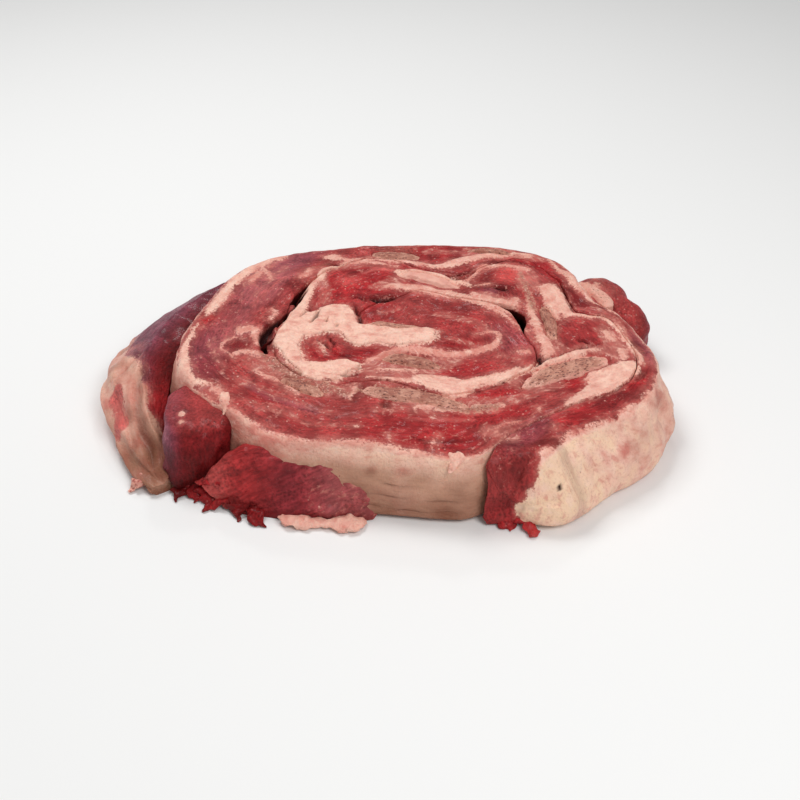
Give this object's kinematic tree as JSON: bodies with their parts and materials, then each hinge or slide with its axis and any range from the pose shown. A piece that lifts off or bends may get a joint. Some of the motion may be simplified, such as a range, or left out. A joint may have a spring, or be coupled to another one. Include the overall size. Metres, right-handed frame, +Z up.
{
  "type": "beef short rib strip",
  "caption": "Raw beef short rib strip, cut across the ribs and coiled up on edge, with lean, fat seams and rib bone sections showing on its cut face.",
  "frame": {"origin": "middle of the outline seen from above, on the surface that the strip rests on", "axes": "+Z up through the coil, +X to the right along the longest extent, and the outer cut end at the front right, towards -Y"},
  "size_m": [0.2338, 0.1694, 0.0307],
  "materials": {
    "meat": "moist raw lean and fat",
    "bone": "sawn porous bone"
  },
  "bodies": {
    "root": {"rib_strip": "meat", "rib_bone_1": "bone", "rib_bone_2": "bone", "rib_bone_3": "bone", "rib_bone_4": "bone", "rib_bone_5": "bone", "rib_bone_6": "bone", "rib_bone_7": "bone", "rib_bone_8": "bone", "rib_bone_9": "bone", "rib_bone_10": "bone"}
  },
  "joints": []
}
